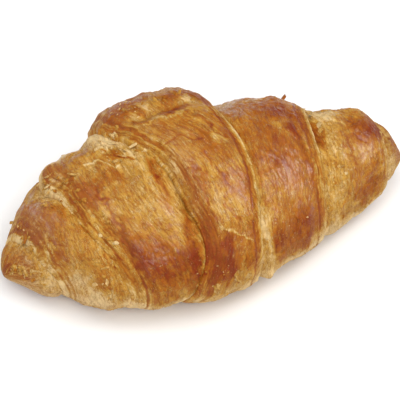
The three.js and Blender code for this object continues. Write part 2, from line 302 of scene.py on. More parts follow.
def roll_mesh(name, points, masks, mirrored):
    """Closed surface through rings of points in mm; its first and last rings are single points."""
    rows, columns, _ = points.shape
    inner = points[1:-1].reshape(-1, 3)
    vertices = np.concatenate([inner, points[0, :1], points[-1, :1]]) * MM
    i = np.arange(rows - 3)[:, None] * columns
    j = np.arange(columns)[None, :]
    after = (j + 1) % columns
    quads = np.stack([i + j, i + after, i + columns + after, i + columns + j], -1).reshape(-1, 4)
    last = (rows - 3) * columns
    first_fan = np.stack([len(inner) + 0 * j[0], after[0], j[0]], -1)
    last_fan = np.stack([len(inner) + 1 + 0 * j[0], last + j[0], last + after[0]], -1)
    fans = np.concatenate([first_fan, last_fan])
    if mirrored:
        quads = quads[:, ::-1]
        fans = fans[:, ::-1]
    mesh = bpy.data.meshes.new(name)
    mesh.from_pydata(vertices, [], quads.tolist() + fans.tolist())
    turn = masks.pop("turn")
    across = masks.pop("across")
    flow = np.stack([across, RING * np.cos(turn), RING * np.sin(turn)], -1)
    flow_rows = np.concatenate([flow[1:-1].reshape(-1, 3), flow[0, :1], flow[-1, :1]])
    layer = mesh.attributes.new("flow", "FLOAT_VECTOR", "POINT")
    layer.data.foreach_set("vector", flow_rows.astype(np.float32).ravel())
    for mask, values in masks.items():
        layer = mesh.attributes.new(mask, "FLOAT", "POINT")
        column = np.concatenate([values[1:-1].reshape(-1), values[0, :1], values[-1, :1]])
        layer.data.foreach_set("value", column.astype(np.float32))
    mesh.shade_smooth()
    mesh.update()
    return mesh


def add_piece(name, mesh, material):
    """Puts a finished piece of the croissant in the scene."""
    piece = bpy.data.objects.new(name, mesh)
    bpy.context.scene.collection.objects.link(piece)
    mesh.materials.append(material)
    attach(piece, "root")
    return piece


def set_inputs(node, values):
    """Sets sockets of a node, each by its name."""
    for label, value in values.items():
        node.inputs[label].default_value = value


def baked_dough_group():
    """Shader group: colour, roughness, glaze and fine relief of baked dough from its browning, with
    painted shade in its creases.
    """
    group = bpy.data.node_groups.new("Baked dough", "ShaderNodeTree")
    face = group.interface
    for label in ("Position", "Flow"):
        face.new_socket(label, in_out="INPUT", socket_type="NodeSocketVector")
    for label in ("Browning", "Toast", "Glaze"):
        face.new_socket(label, in_out="INPUT", socket_type="NodeSocketFloat")
    for label in ("Pale", "Gold", "Brown", "Dark", "Red"):
        face.new_socket(label, in_out="INPUT", socket_type="NodeSocketColor")
    face.new_socket("Color", in_out="OUTPUT", socket_type="NodeSocketColor")
    for label in ("Roughness", "Coat", "Height"):
        face.new_socket(label, in_out="OUTPUT", socket_type="NodeSocketFloat")
    nodes = group.nodes
    links = group.links
    inputs = nodes.new("NodeGroupInput")
    outputs = nodes.new("NodeGroupOutput")

    def noise(vector, scale, detail, roughness, distortion=0.0):
        node = nodes.new("ShaderNodeTexNoise")
        set_inputs(node, {"Scale": scale, "Detail": detail, "Roughness": roughness,
                          "Distortion": distortion})
        links.new(vector, node.inputs["Vector"])
        return node.outputs["Fac"]

    def stretched(scales):
        node = nodes.new("ShaderNodeMapping")
        node.inputs["Scale"].default_value = scales
        links.new(inputs.outputs["Flow"], node.inputs["Vector"])
        return node.outputs["Vector"]

    def maths(operation, *values):
        node = nodes.new("ShaderNodeMath")
        node.operation = operation
        for socket, value in zip(node.inputs, values):
            if isinstance(value, (int, float)):
                socket.default_value = value
            else:
                links.new(value, socket)
        return node.outputs[0]

    def centred(value, strength):
        return maths("MULTIPLY", maths("SUBTRACT", value, 0.5), strength)

    def between(value, low, high, out_low=0.0, out_high=1.0):
        node = nodes.new("ShaderNodeMapRange")
        node.interpolation_type = "SMOOTHSTEP"
        links.new(value, node.inputs["Value"])
        set_inputs(node, {"From Min": low, "From Max": high, "To Min": out_low, "To Max": out_high})
        return node.outputs["Result"]

    def mixed(share, first, second):
        node = nodes.new("ShaderNodeMix")
        node.data_type = "RGBA"
        links.new(share, node.inputs["Factor"])
        links.new(first, node.inputs["A"])
        links.new(second, node.inputs["B"])
        return node.outputs["Result"]

    def line_near_half(value, width):
        return between(maths("ABSOLUTE", maths("SUBTRACT", value, 0.5)), 0.0, width, 1.0, 0.0)

    mottle = noise(inputs.outputs["Position"], 500, 4, 0.65)
    specks = noise(inputs.outputs["Position"], 1600, 2, 0.5)
    blotches = noise(inputs.outputs["Position"], 210, 3, 0.6, 0.6)
    fibres = noise(stretched((1.1, 0.15, 0.15)), 1.0, 4, 0.65, 0.9)
    threads = noise(stretched((2.6, 0.6, 0.6)), 1.0, 3, 0.6, 0.8)
    crease_lines_and_shade = line_near_half(noise(stretched((0.8, 0.11, 0.11)), 1.0, 4, 0.6, 0.6), 0.03)
    edges = line_near_half(noise(stretched((1.1, 0.16, 0.16)), 1.0, 5, 0.62, 0.9), 0.03)
    edges = maths("MULTIPLY", edges, between(mottle, 0.42, 0.6))
    browning = inputs.outputs["Browning"]
    # The creases brown here and redden below as painted shade in them; they also sink the fine relief.
    for part in (
            centred(blotches, 0.36), centred(mottle, 0.36), centred(specks, 0.3),
            centred(fibres, 0.3), centred(threads, 0.24), maths("MULTIPLY", crease_lines_and_shade, 0.16),
            maths("MULTIPLY", edges, -0.4)):
        browning = maths("ADD", browning, part)
    color = mixed(between(browning, 0.0, 0.42), inputs.outputs["Pale"], inputs.outputs["Gold"])
    color = mixed(between(browning, 0.35, 0.7), color, inputs.outputs["Brown"])
    color = mixed(between(browning, 0.65, 1.05), color, inputs.outputs["Dark"])
    toast = maths("MULTIPLY", inputs.outputs["Toast"], between(threads, 0.3, 0.62, 0.45, 1.0))
    toast = maths("ADD", toast, maths("MULTIPLY", crease_lines_and_shade, 0.3))
    color = mixed(toast, color, inputs.outputs["Red"])
    color = mixed(maths("MULTIPLY", between(specks, 0.66, 0.76), 0.45), color, inputs.outputs["Pale"])
    glaze = maths("MULTIPLY", inputs.outputs["Glaze"], between(mottle, 0.35, 0.6, 0.5, 1.0))
    links.new(color, outputs.inputs["Color"])
    links.new(between(glaze, 0, 1, 0.6, 0.3), outputs.inputs["Roughness"])
    links.new(between(glaze, 0.3, 1, 0, 1), outputs.inputs["Coat"])
    roughened = maths("ADD", maths("MULTIPLY", mottle, 0.55), maths("MULTIPLY", specks, 0.08))
    drawn_out = maths("ADD", maths("MULTIPLY", fibres, 0.45), maths("MULTIPLY", threads, 0.25))
    lined = maths("ADD", maths("MULTIPLY", crease_lines_and_shade, -0.35), maths("MULTIPLY", edges, 0.3))
    fine = maths("ADD", maths("ADD", roughened, drawn_out), lined)
    fine = maths("MULTIPLY", fine, between(inputs.outputs["Glaze"], 0.3, 1, 1.1, 0.5))
    links.new(fine, outputs.inputs["Height"])
    return group


def linear(red, green, blue):
    """A colour as a picture shows it, 0 to 255, turned into the linear value of a paint."""
    shares = (np.array([red, green, blue]) / 255) ** 2.2
    return (*(float(v) for v in shares), 1.0)


DOUGH_COLORS = {
    "Pale": linear(220, 188, 132), "Gold": linear(184, 137, 56), "Brown": linear(157, 90, 18),
    "Dark": linear(122, 43, 0), "Red": linear(150, 81, 36)}
GRAIN_HEIGHT = 0.5
SCATTER_REACH = 1.2
baked_dough = baked_dough_group()


def crust_material(name):
    """Baked, egg-washed crust that reads its masks from the piece."""
    material = bpy.data.materials.new(name)
    material.use_nodes = True
    nodes = material.node_tree.nodes
    links = material.node_tree.links
    shader = nodes["Principled BSDF"]
    group = nodes.new("ShaderNodeGroup")
    group.node_tree = baked_dough
    coordinates = nodes.new("ShaderNodeTexCoord")
    links.new(coordinates.outputs["Object"], group.inputs["Position"])
    for mask in ("Flow", "Browning", "Toast", "Glaze"):
        attribute = nodes.new("ShaderNodeAttribute")
        attribute.attribute_name = mask.lower()
        links.new(attribute.outputs["Vector" if mask == "Flow" else "Fac"], group.inputs[mask])
    set_inputs(group, DOUGH_COLORS)
    bump = nodes.new("ShaderNodeBump")
    set_inputs(bump, {"Strength": 0.75, "Distance": GRAIN_HEIGHT * MM})
    links.new(group.outputs["Height"], bump.inputs["Height"])
    links.new(bump.outputs["Normal"], shader.inputs["Normal"])
    for output, label in (("Color", "Base Color"), ("Roughness", "Roughness"), ("Coat", "Coat Weight")):
        links.new(group.outputs[output], shader.inputs[label])
    set_inputs(shader, {
        "Coat Roughness": 0.25, "Subsurface Weight": 0.06, "Subsurface Radius": (1.0, 0.45, 0.2),
        "Subsurface Scale": SCATTER_REACH * MM, "Specular IOR Level": 0.22,
        "Specular Tint": (1.0, 0.92, 0.8, 1.0)})
    return material


def baked_skin(x, angle, across, look, seed):
    """Fine relief of a skin with its browning, toast and glaze, which follow its listed marks."""
    warped_x = x + 1.5 * grain(x, angle, 4, 5, seed + 20, 3)
    warped_angle = angle + np.radians(3.4) * grain(x, angle, 4, 5, seed + 23, 3)
    folds, crease_shade = wrinkles(across, angle, seed)
    border, step = flakes(across + warped_x - x, warped_angle, 2.6, 6.5, seed + 30)
    torn = np.clip(look["flaky"] + patches(look["torn"], warped_x, warped_angle, 2), 0, 1)
    glaze = np.clip(look["glaze"] + patches(look["glossy"], warped_x, warped_angle, 2), 0, 1)
    bake = look["browning"] + patches(look["browned"], warped_x, warped_angle, 1.3)
    calm = (1 - 0.5 * torn) * (1 - 0.6 * ease(2 * glaze - 1)) * (0.4 + 0.6 * ease(2.5 * bake))
    relief = calm * folds
    lines = strokes(look["lines"], warped_x, warped_angle)
    relief = relief + torn * (0.22 * step - 0.06 * np.exp(-(border / 0.09) ** 2)) - 0.5 * lines
    streaks = grain(across + warped_x - x, angle, 1.5, 11, seed + 24, 3)
    clouds = grain(x, angle, 6, 16, seed + 26)
    # Crease lines and the creases of the wrinkles are browned here and reddened below as painted shade
    # in them.
    browning = bake + lines + 0.06 * streaks + 0.1 * clouds + 0.25 * relief + 0.12 * torn * step
    browning = browning + 0.06 * grain(x, angle, 2.2, 2.6, seed + 27, 3) + 0.08 * crease_shade
    # Paler low down the sides: partly dough that bakes less there, partly painted light from the floor.
    browning = browning - 0.3 * ease(-np.sin(angle) / 0.3)
    underneath = ease((-np.sin(angle) - 0.6) / 0.3)
    browning = browning + underneath * (0.6 - browning)
    toast = look["toast"] + patches(look["toasted"], warped_x, warped_angle, 1.3) + 0.2 * crease_shade
    toast = toast + 0.1 * grain(across, angle, 2, 6, seed + 28) + 0.6 * lines
    return relief, browning, toast, glaze * ease(np.sin(angle) / 0.6)


def all_rows(values, before, after):
    """A mask carried on over the rows of the lips and caps before and after the skin."""
    return np.pad(values, ((before, after), (0, 0)), mode="edge")


def tongue_points(across_count, round_count, look, seed):
    """The tongue: skin between its two edges, a lip at both, and its body closed on the axis."""
    angle = np.linspace(0, 2 * np.pi, round_count, endpoint=False)[None, :]
    start = free_edge(LEFT_1, angle) + LIP_ROUND
    end = free_edge(RIGHT_1, angle) - LIP_ROUND
    share = np.linspace(0, 1, across_count)[:, None]
    x = start + (end - start) * share
    left_gap = x - start
    right_gap = end - x
    relief, browning, toast, glaze = baked_skin(x, angle, left_gap, look, seed)
    left_in, left_lines, left_dark = cut_layers(LEFT_1, left_gap, angle, seed + 40)
    right_in, right_lines, right_dark = cut_layers(RIGHT_1, right_gap, angle, seed + 44)
    away = (1 - 0.85 * left_in) * (1 - 0.85 * right_in)
    form = TONGUE_SWELL + patches(BACK_HUMP, x, angle) + unevenness(x, angle)
    height = form - band_drop(LEFT_1, left_gap, angle) - band_drop(RIGHT_1, right_gap, angle)
    height = height + away * relief + left_lines + right_lines
    line = seam(RIGHT_1, right_gap, angle, seed + 48)
    height = height - SEAM_DEPTH * line
    browning = browning + 0.34 * (left_dark - 0.3 * left_in) + 0.35 * line
    toast = toast + 0.5 * (left_dark - 0.3 * left_in) + 0.3 * (right_dark - right_in) + 0.4 * line
    glaze = glaze * (0.3 + 0.7 * away)
    for rest, paleness in ((left_gap, 0.15), (right_gap, 0.3)):
        rim = np.exp(-(rest / RIM_REACH) ** 2)
        browning = browning - paleness * rim
        toast = toast * (1 - 0.8 * rim)
    toast = np.clip(toast, 0, 1)
    left_thickness = lip_thickness(LEFT_1, angle, height[0])
    left_x, left_height, left_below = lip_rows(start[0], height[0], -1, left_thickness)
    right_thickness = lip_thickness(RIGHT_1, angle, height[-1])
    right_x, right_height, right_below = lip_rows(end[0], height[-1], 1, right_thickness)
    grid_x = np.concatenate([left_x[::-1], x, right_x])
    grid_height = np.concatenate([left_height[::-1], height, right_height])
    below = np.concatenate([left_below[::-1], 0 * x, right_below])
    skin = place(grid_x, angle, grid_height, below)
    left_cap = cap_points(skin[0], CAP_SHARES[:0:-1])
    points = np.concatenate([left_cap, skin, cap_points(skin[-1], CAP_SHARES[1:])])
    margin = len(left_x) + len(CAP_SHARES) - 1
    masks = {"browning": browning, "toast": toast, "glaze": glaze,
             "across": left_gap, "turn": angle + 0 * x}
    return points, {mask: all_rows(values, margin, margin) for mask, values in masks.items()}


# Marks of the crust, each as x, angle, reach along, reach round in degrees, and strength: browned
# marks darken as browning, but a few are painted shade in grooves and a hole, and a few pale the crust
# as a painted highlight; toasted marks redden, two of them with the pink of a painted sheen; glossy is
# egg wash and torn is flaky, each on top of the value that the whole piece has. Lines are creases,
# darkened with painted shade in them, or pale tears where the strength is below zero, each as half
# width, strength and its stops at x and angle.
TONGUE_LOOK = dict(
    browning=0.5, toast=0.03, glaze=0.6, flaky=0.25,
    browned=(
        # the hump
        (-22, 42, 9, 16, 0.12), (-8, 30, 20, 7, -0.15), (8, 50, 4, 12, 0.3), (9, 86, 3, 22, 0.2),
        # torn places on it
        (-14, 51, 2, 4, -0.45), (-19.5, 58, 2.5, 4.5, -0.4), (-20, 62, 2, 2.5, 0.3),
        (-2, 50, 3, 5, 0.12), (-1, 59, 4, 5, -0.2), (-6, 63, 5, 3.5, 0.4), (2.5, 56, 3, 6, -0.3),
        (-28, 33, 2.5, 3, -0.4),
        # beside and below the crease; the long thin pale mark at x -10 is a painted highlight on the
        # ridge below it
        (-24, 67, 4, 5, -0.14), (-18, 76, 4, 6, -0.15), (-14, 93, 3.5, 8, -0.25),
        (-13.5, 104, 2.2, 10, -0.15), (2, 49, 4, 5, 0.15), (-14, 130, 2, 8, 0.2),
        (-18, 86, 3, 5, 0.12), (-10, 68.5, 12, 1.2, -0.3), (3, 76, 5, 5, -0.05),
        (0, 88, 7, 10, 0.1), (6, 104, 3, 6, -0.15), (6, 67, 3, 5, -0.14), (4.5, 90, 2, 3, -0.3),
        (-17, 84, 4, 5, -0.15), (-12, 96, 3, 7, -0.1),
        # the cut band and the skin beside it
        (-10.5, 112, 3, 18, -0.18), (-11, 140, 3, 12, 0.25), (-9, 153, 5, 12, 0.3),
        (-4.8, 158, 1.8, 12, 0.4), (-5.5, 124, 3, 14, -0.2), (-6, 112, 3, 5, 0.12),
        (0, 117, 3, 8, 0.12), (-2, 131, 3, 4, -0.12), (7, 150, 2.5, 12, 0.1),
        # low in front
        (0, 156, 6, 10, 0.18), (-8, 170, 8, 8, 0.15), (-8, 192, 6, 8, -0.2), (2, 184, 6, 8, -0.15)),
    lines=(
        (0.4, 0.35, (-14, 84), (-11.5, 84), (-6, 86), (-1, 88)),
        (0.4, 0.3, (1, 74), (2.5, 76), (3.5, 82)), (0.4, 0.35, (3, 80), (4.5, 88), (7.5, 90)),
        (0.35, 0.4, (-11, 102), (-7, 106)), (0.5, 0.3, (-10, 105), (-8.5, 122), (-7.5, 135)),
        (0.6, 0.4, (-6.5, 147), (-5, 159), (-5, 166)),
        (0.5, 0.35, (-11.5, 147), (-9, 160), (-9.5, 172)),
        (0.4, -0.45, (-7, 138), (-4, 142), (-3, 147), (0, 151), (3, 154)),
        (0.5, 0.3, (0, 105), (1.5, 117), (2, 125)), (0.5, 0.3, (-2, 125), (-1.5, 134), (0.5, 142)),
        (0.5, 0.25, (-2, 96), (-2, 105))),
    toasted=(
        (-22, 38, 9, 20, 0.4), (-8, 38, 14, 14, 0.3), (8, 50, 4, 12, 0.35), (-2, 52, 3.5, 6, 0.3),
        (-14, 75, 6, 5, 0.3), (-17, 84, 4, 5, -0.3), (-13.5, 108, 2.5, 20, 0.35),
        (-9, 95, 2.2, 10, 0.4), (-10, 110, 2.5, 10, 0.6), (-11.5, 125, 2.5, 10, 0.6),
        # The mark at x 3.5, angle 121 is the pink of a painted sheen.
        (-10.5, 140, 3, 10, 0.5), (-9, 152, 4, 9, 0.3), (3.5, 121, 2.5, 12, 0.15),
        (-10, 175, 6, 12, 0.15)),
    glossy=(
        (3.5, 121, 3, 14, 0.5), (-3, 127, 4, 13, 0.1), (-8, 92, 7, 14, 0.4), (0, 158, 6, 8, 0.3)),
    torn=((-12, 35, 20, 16, 0.7), (-8, 172, 10, 12, 0.5)))
points, masks = tongue_points(130, 640, TONGUE_LOOK, 11)
tongue_mesh = roll_mesh("tongue_crust", points, masks, False)
tongue = add_piece("tongue_crust", tongue_mesh, crust_material("Tongue crust"))
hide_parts("croissant")
crust_pieces = [tongue]


# The second turn shows on both sides of the tongue. It comes out from under the tongue's edge,
# pale where the dough stretched in the oven, rises to a browned crest and ends in its own cut edge.
# It is the same sheet of layered dough, one turn further in.
LEFT_2 = dict(back=-50.1, top=-52.5, front=-38.4, under=-43.9, lean=-2,
              kinks=((80, 1.2, 14), (118, -0.8, 14), (150, -0.6, 12)), ragged=0.2, torn=(),
              band=8, drop=2, step=0.5, floor=4.6, shallow=2.2, deepest=(66, 22),
              rise=9, inner=-0.2)
RIGHT_2 = dict(back=45.4, top=40.4, front=34.8, under=39.8, lean=0,
               kinks=((75, -0.7, 12), (120, 0.5, 18)), ragged=0.15, torn=((45, 18, 0.6),),
               band=3.5, drop=1.1, step=0.2, floor=2.6, shallow=0.9, deepest=(97, 16),
               rise=6, inner=0.65)
TUCK = 3.2


def stretch_points(before, own, outwards, clearance, across_count, round_count, look, seed):
    """One turn's visible stretch: in under the edge before it, up from the floor, down to its lip."""
    angle = np.linspace(0, 2 * np.pi, round_count, endpoint=False)[None, :]
    cover = free_edge(before, angle)
    start = cover - outwards * TUCK
    end = free_edge(own, angle) - outwards * LIP_ROUND if own else outwards * HALF_LENGTH + 0 * cover
    share = np.linspace(0, 1, across_count)[:, None]
    if not own:
        share = np.sin(share[:-1] * np.pi / 2)
    x = start + (end - start) * share
    gap = outwards * (x - cover)
    rest = outwards * (end - x)
    climb = np.clip(1 - gap / before["rise"], 0, 1.2)
    fade = np.clip(gap / before["rise"], 0, 1)
    form = before["inner"] * (2 * np.clip((x - cover) / (end - cover), 0, 1) - 1)
    form = form - edge_floor(before, angle) * climb**2 + patches(look["lumps"], x, angle)
    height = form + fade * unevenness(x, angle)
    relief, browning, toast, glaze = baked_skin(x, angle, rest, look, seed)
    away = ease(0.35 + gap / 5)
    stretched = np.exp(-(np.clip(gap, 0, None) / look["stretch"]) ** 2)
    browning = browning - look["paleness"] * stretched
    toast = toast * (1 - 0.7 * stretched)
    glaze = glaze * (1 - 0.6 * stretched)
    if own:
        inside, lines, dark = cut_layers(own, rest, angle, seed + 40)
        away = away * (1 - 0.85 * inside)
        height = height - band_drop(own, rest, angle) + lines
        rim = np.exp(-(rest / RIM_REACH) ** 2)
        line = look["seam"] * seam(own, rest, angle, seed + 48)
        height = height - SEAM_DEPTH * line
        browning = browning + 0.4 * (dark - 0.45 * inside) - 0.3 * rim + 0.35 * line
        toast = toast + look["band_toast"] * (dark - 0.3 * inside) + 0.4 * line
        toast = np.clip(toast, 0, 1) * (1 - 0.7 * rim)
        glaze = glaze * (1 - 0.7 * inside)
    height = height + away * relief
    if own:
        thickness = lip_thickness(own, angle, height[-1])
        lip_x, lip_height, lip_below = lip_rows(end[0], height[-1], outwards, thickness)
        grid_x = np.concatenate([x, lip_x])
        grid_height = np.concatenate([height, lip_height])
        lift = clearance + np.concatenate([0 * x, lip_below])
    else:
        grid_x, grid_height, lift = x, height, clearance + 0 * x
    skin = place(grid_x, angle, grid_height, lift)
    tip = place(outwards * HALF_LENGTH + 0 * angle, 0 * angle, 0 * angle, 0 * angle)
    closing = cap_points(skin[-1], CAP_SHARES[1:]) if own else tip
    points = np.concatenate([cap_points(skin[0], CAP_SHARES[:0:-1]), skin, closing])
    rows_before = len(CAP_SHARES) - 1
    rows_after = len(points) - len(x) - rows_before
    masks = {"browning": browning, "toast": toast, "glaze": glaze,
             "across": rest, "turn": angle + 0 * x}
    return points, {mask: all_rows(values, rows_before, rows_after) for mask, values in masks.items()}


def add_stretch(name, before, own, outwards, clearance, counts, look, seed):
    """Makes one stretch of crust, with its counts of rows along and points round, and places it."""
    points, masks = stretch_points(before, own, outwards, clearance, *counts, look, seed)
    mesh = roll_mesh(name, points, masks, outwards < 0)
    piece = add_piece(name, mesh, crust_material(name.replace("_", " ")))
    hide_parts("croissant")
    crust_pieces.append(piece)


LEFT_2_LOOK = dict(
    browning=0.45, toast=0.06, glaze=0.6, flaky=0.2, stretch=5, paleness=0.25, band_toast=0.6,
    seam=0.3,
    lumps=((-33, 48, 5, 16, 1.6), (-40, 29, 3.5, 15, -3), (-52, 38, 3.5, 14, 2)),
    browned=(
        # pale dough by the hump
        (-31, 52, 6, 16, -0.5), (-25.5, 67, 4, 6, 0.1), (-27, 78, 4, 5, -0.12),
        # the shoulder and the top
        (-41, 58, 4, 4, 0.05), (-34, 59, 5, 5, -0.1), (-49, 38, 7, 7, -0.5), (-32, 76, 5, 3, 0.2),
        (-36, 87, 7, 6, 0.15), (-29, 86, 3, 5, -0.15),
        # the groove along the tongue, darkened with painted shade, and the skin by it
        (-20.5, 76, 3, 5, 0.25), (-19, 97, 2.5, 14, 0.45), (-29, 112, 6, 12, -0.08),
        (-18, 116, 2.5, 8, 0.15), (-14.5, 128, 2.2, 12, 0.42), (-14, 103, 2, 4, 0.2),
        # the front; its first mark is painted shade at the low end of the groove along the tongue
        (-15, 163, 3, 22, 0.56), (-25, 155, 11, 16, 0.42), (-31, 141, 7, 11, 0.24),
        (-42, 150, 3, 8, 0.18), (-40, 146, 3.2, 16, 0.25), (-31, 123, 6, 6, 0.14),
        (-26, 182, 9, 8, 0.05), (-36, 181, 5, 8, 0.14), (-18, 175, 3, 6, 0.14),
        (-20, 197, 4, 6, -0.2),
        # the cut band
        (-48, 62, 3, 10, 0.1), (-47, 76, 1.6, 4, 0.25), (-53, 66, 3, 16, -0.12),
        (-53, 55, 3, 7, 0.35), (-43, 93, 5, 9, 0.12), (-50, 108, 3, 8, 0.15),
        (-42, 110, 3, 5, -0.25), (-46, 112, 2.5, 6, 0.14), (-45, 124, 4, 10, 0.15),
        (-37.5, 121, 2.5, 7, -0.12), (-43, 80, 3, 8, -0.12)),
    lines=(
        (0.4, -0.5, (-41, 71), (-38, 73), (-33.5, 79), (-30.5, 84)),
        (0.4, 0.5, (-30, 76), (-26.5, 81), (-25, 83)), (0.5, 0.5, (-33.5, 69), (-32, 71)),
        (0.8, 0.4, (-19, 97), (-18, 98)), (0.6, 0.4, (-48, 77), (-46, 78)),
        (0.5, 0.5, (-41, 94), (-38, 102), (-39.5, 105)),
        (0.5, 0.25, (-49.5, 79), (-46, 88), (-42, 97), (-39, 100)),
        (0.4, 0.25, (-46, 82), (-42.5, 90), (-39, 94)),
        (0.4, 0.35, (-49, 100), (-48, 113), (-46, 124)),
        (0.5, 0.3, (-39, 106), (-38, 121), (-37, 131), (-34, 146), (-32.5, 170))),
    toasted=(
        (-41, 58, 4, 4, 0.5), (-53, 50, 4, 10, 0.4), (-27, 150, 8, 10, 0.05), (-50, 60, 4, 14, 0.5),
        (-54, 68, 2.5, 14, -0.4), (-44, 92, 5, 12, 0.5), (-43, 111, 4, 6, -0.5),
        (-37.5, 120, 1.8, 9, 0.3)),
    glossy=(
        (-27, 152, 11, 16, 0.2), (-19, 115, 3, 16, 0.5), (-41, 109, 5, 10, 0.4),
        (-31, 52, 6, 16, -0.5), (-27, 77, 5, 7, -0.5)),
    torn=((-27, 77, 5, 7, 0.8), (-31, 52, 5, 14, 0.4)))
RIGHT_2_LOOK = dict(
    browning=0.55, toast=0.05, glaze=0.75, flaky=0.15, stretch=2.5, paleness=0.1, band_toast=0.2,
    seam=1,
    lumps=((13, 42, 3.5, 18, -2.4), (9.5, 200, 2, 8, 1.8)),
    browned=(
        # the top
        (29, 74, 12, 22, 0.25), (22, 112, 8, 20, 0.22), (16, 42, 12, 8, -0.05),
        (25, 50, 6, 5, -0.25), (34, 76, 2, 24, 0.2), (30, 85, 4, 7, -0.32),
        # the front, the middle and the borders; the mark at x 6, angle 157 is painted shade in the
        # groove by the tongue's edge
        (20, 168, 13, 14, 0.33), (28, 152, 5, 10, 0.2), (28, 191, 9, 8, -0.3),
        (14, 196, 6, 5, -0.2), (6, 157, 1.5, 5, 0.25), (10, 130, 2.5, 6, -0.12),
        (14, 175, 3, 5, -0.12), (14, 76, 3, 5, -0.12), (10, 160, 2, 26, -0.45),
        (6, 175, 2, 14, -0.2), (22, 103, 5, 5, -0.1), (32.2, 120, 1.5, 40, 0.2),
        (35.3, 140, 1.2, 60, -0.2)),
    lines=((0.5, 0.5, (13.5, 87), (13.5, 91)),),
    toasted=((26, 50, 10, 11, 0.35), (32, 130, 1.4, 50, 0.3), (34.2, 140, 1.6, 60, -0.4)),
    glossy=((26, 126, 7, 15, 0.6), (33, 140, 1.8, 60, -0.4)),
    torn=((38, 50, 4, 14, 0.5), (10.5, 165, 1.5, 25, 0.6)))
add_stretch("left_second_turn", LEFT_1, LEFT_2, -1, 0.5, (124, 600), LEFT_2_LOOK, 101)
add_stretch("right_second_turn", RIGHT_1, RIGHT_2, 1, 0.5, (120, 560), RIGHT_2_LOOK, 151)


# The third turn shows as a narrower band of crust beyond the second one, on both sides.
# It is dough of the same sheet, cut closer to the corners of the triangle.
LEFT_3 = dict(back=-70.4, top=-66.9, front=-61, under=-64.9, lean=1.1,
              kinks=((95, 0.8, 12), (140, -0.6, 14)), ragged=0.2, torn=(),
              band=6, drop=1.7, step=0.3, floor=4, shallow=2.8, deepest=(72, 22), rise=7, inner=0)
RIGHT_3 = dict(back=66.1, top=67.2, front=65.7, under=66.2, lean=0,
               kinks=((90, 0.5, 14),), ragged=0.15, torn=(),
               band=3, drop=0.8, step=0.2, floor=1.9, shallow=1.3, deepest=(90, 40), rise=5, inner=0)
LEFT_3_LOOK = dict(
    browning=0.5, toast=0.12, glaze=0.65, flaky=0.15, stretch=3, paleness=0.15, band_toast=0.3,
    seam=0.3,
    lumps=((-59, 32, 3.5, 14, -2.2),),
    browned=(
        # The mark at x -41, angle 153 is a small hole painted dark as its shade; the one at x -62,
        # angle 84 pales the dome as a painted highlight.
        (-56, 62, 2.5, 16, -0.22), (-52, 100, 4, 12, 0.2), (-46, 118, 3, 7, 0.2),
        (-47, 148, 5, 14, 0.07), (-44, 182, 7, 11, -0.36), (-56, 168, 4, 16, -0.36),
        (-52, 190, 6, 9, -0.34), (-64, 175, 2.5, 18, 0.15), (-45, 140, 2, 9, -0.1),
        (-41, 153, 0.8, 1.2, 0.5), (-63, 140, 3, 14, -0.15), (-62, 164, 2.5, 8, 0.3),
        (-62, 84, 4, 7, -0.12), (-66, 94, 1.5, 5, 0.15), (-58, 67, 2.5, 5, 0.12),
        (-62, 120, 2.5, 12, -0.3), (-68, 75, 2, 25, -0.2), (-39, 168, 3, 9, 0.15),
        (-66, 72, 3, 30, 0.13)),
    lines=(
        (0.4, 0.4, (-61, 111), (-59, 123), (-55.5, 124)),
        (0.5, 0.35, (-66, 46), (-65, 79), (-63.5, 101), (-62, 122), (-61, 144))),
    toasted=(
        (-61, 85, 5, 22, 0.6), (-58, 106, 4, 10, 0.3), (-64.5, 98, 2.5, 9, 0.5),
        (-68, 75, 2, 25, -0.3), (-62, 124, 2, 10, -0.4)),
    glossy=((-61, 88, 5, 18, 0.6), (-47, 150, 8, 25, -0.3)),
    torn=((-45, 140, 3, 12, 0.8), (-45, 175, 8, 14, 0.5)))
RIGHT_3_LOOK = dict(
    browning=0.52, toast=0.03, glaze=0.6, flaky=0.15, stretch=5, paleness=0.15, band_toast=0.2,
    seam=0.4,
    lumps=((42, 65, 3, 15, -1),),
    browned=(
        # The marks at x 41 and 42, by the second turn's lip, darken the groove under it as painted
        # shade; the one at x 54, angle 134 pales the crust as a painted highlight.
        (48, 68, 5, 15, -0.45), (44, 130, 5, 45, -0.2), (41, 92, 2, 16, 0.55), (61, 94, 5, 18, 0.3),
        (65.5, 90, 2.2, 24, 0.45), (38, 188, 3, 10, -0.25), (38.5, 110, 2, 6, 0.1),
        (38, 130, 2, 6, 0.14), (54, 134, 3, 8, -0.12), (48, 92, 3, 8, -0.1), (56, 166, 8, 14, 0.2),
        (50, 202, 16, 7, -0.25), (53, 76, 5, 12, 0.08), (54, 106, 5, 7, 0.22), (42, 76, 2, 8, 0.15)),
    lines=((0.5, 0.3, (50.5, 105), (50, 122), (52, 131)), (0.5, 0.25, (56, 100), (58, 112))),
    # The mark at x 54, angle 128 is the pink of a painted sheen.
    toasted=((64, 85, 1.6, 10, 0.4), (54, 128, 4, 12, 0.15)),
    glossy=((44, 120, 4, 60, -0.15), (55, 116, 8, 18, 0.6)),
    torn=((44, 130, 4, 50, 0.4),))
add_stretch("left_third_turn", LEFT_2, LEFT_3, -1, 0.8, (90, 480), LEFT_3_LOOK, 201)
add_stretch("right_third_turn", RIGHT_2, RIGHT_3, 1, 0.8, (104, 460), RIGHT_3_LOOK, 251)


